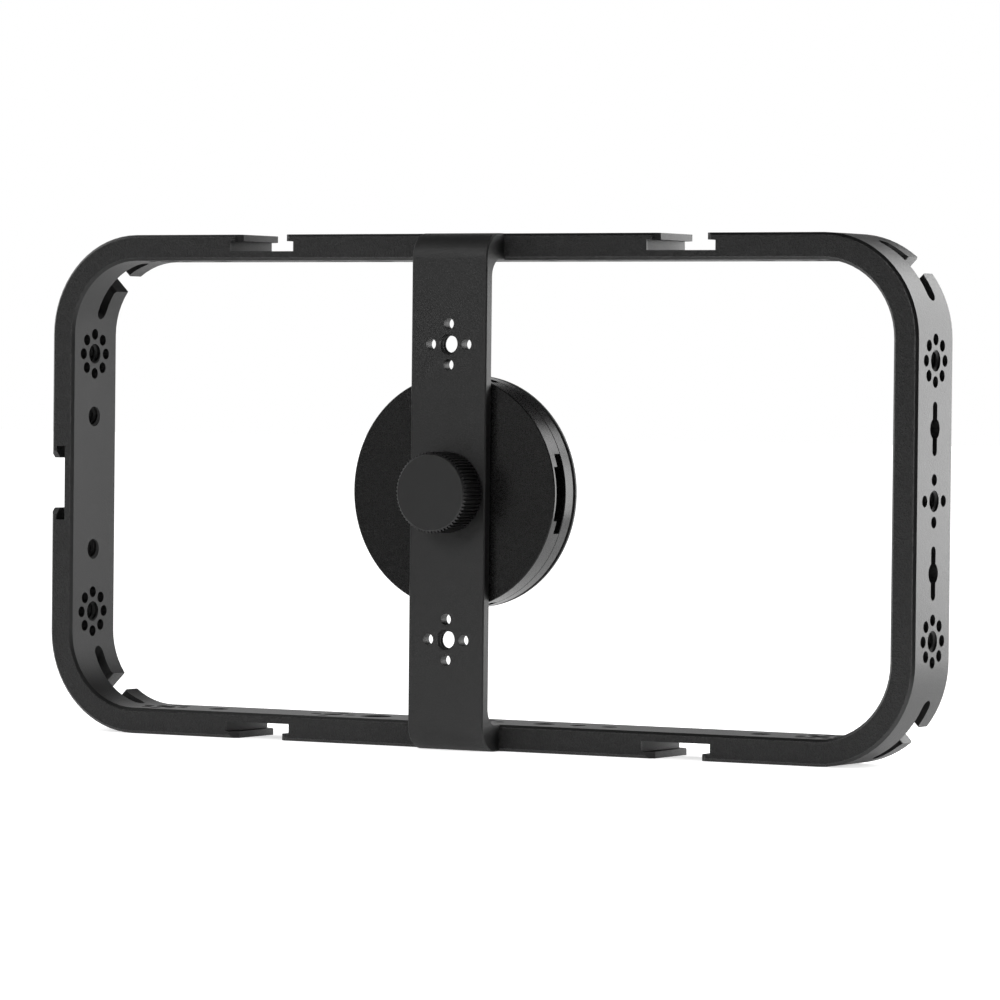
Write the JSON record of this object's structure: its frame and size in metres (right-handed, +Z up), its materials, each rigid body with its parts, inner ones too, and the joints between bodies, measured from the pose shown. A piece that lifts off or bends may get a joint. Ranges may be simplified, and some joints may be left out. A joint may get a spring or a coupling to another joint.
{
  "type": "phone cage",
  "caption": "Rounded rectangular phone cage with cold shoe slots, threaded and pinned holes, and a round magnetic phone mount on a thumbscrewed bridge.",
  "frame": {"origin": "mouth of the tripod thread, in the middle of the bottom bar's underside", "axes": "+X along the frame's width, to the right seen from the knob's side; +Y from the knob's side to the phone's side; +Z up"},
  "size_m": [0.2452, 0.0358, 0.1263],
  "materials": {
    "frame_anodised": "black anodised over a fine bead blast",
    "knob_anodised": "black anodised, turned face and cut teeth",
    "shell_anodised": "black anodised, smooth satin",
    "stud_steel": "stainless steel thread",
    "insert_brass": "turned brass",
    "washer_nylon": "black nylon",
    "grip_rubber": "black rubber",
    "yoke_steel": "zinc plated steel",
    "magnet_nickel": "nickel plated",
    "carrier_plastic": "moulded black plastic",
    "screw_steel": "black zinc steel",
    "adhesive_film": "thin black adhesive",
    "pad_silicone": "soft matt silicone"
  },
  "bodies": {
    "cage": {"cage_frame": "frame_anodised"},
    "washer": {"knob_washer": "washer_nylon"},
    "thumbscrew": {"thumbscrew_knob": "knob_anodised", "thumbscrew_stud": "stud_steel"},
    "mount": {"friction_ring": "grip_rubber", "mount_front_shell": "shell_anodised", "mount_rear_shell": "shell_anodised", "thread_insert": "insert_brass", "magnet_yoke": "yoke_steel", "magnet_carrier": "carrier_plastic", "housing_screws": "screw_steel", "pad_adhesive": "adhesive_film", "face_pad": "pad_silicone", "ring_magnet_01": "magnet_nickel", "ring_magnet_02": "magnet_nickel", "ring_magnet_03": "magnet_nickel", "ring_magnet_04": "magnet_nickel", "ring_magnet_05": "magnet_nickel", "ring_magnet_06": "magnet_nickel", "ring_magnet_07": "magnet_nickel", "ring_magnet_08": "magnet_nickel", "ring_magnet_09": "magnet_nickel", "ring_magnet_10": "magnet_nickel", "ring_magnet_11": "magnet_nickel", "ring_magnet_12": "magnet_nickel", "ring_magnet_13": "magnet_nickel", "ring_magnet_14": "magnet_nickel", "ring_magnet_15": "magnet_nickel", "ring_magnet_16": "magnet_nickel"}
  },
  "joints": [
    {"name": "washer_travel", "type": "slide", "parent": "cage", "child": "washer", "axis": [0, -1, 0], "range_m": [0, 0.0051]},
    {"name": "thumbscrew_turn", "type": "hinge", "parent": "washer", "child": "thumbscrew", "pos_m": [0, -0.0178, 0.06315], "axis": [0, -1, 0], "range_deg": [0, 1440]},
    {"name": "mount_swivel", "type": "hinge", "parent": "cage", "child": "mount", "pos_m": [0, -0.0149, 0.06315], "axis": [0, 1, 0], "continuous": true}
  ],
  "couplings": [
    {"joint": "washer_travel", "follows": "thumbscrew_turn", "m_per_rad": 0.00020213}
  ]
}
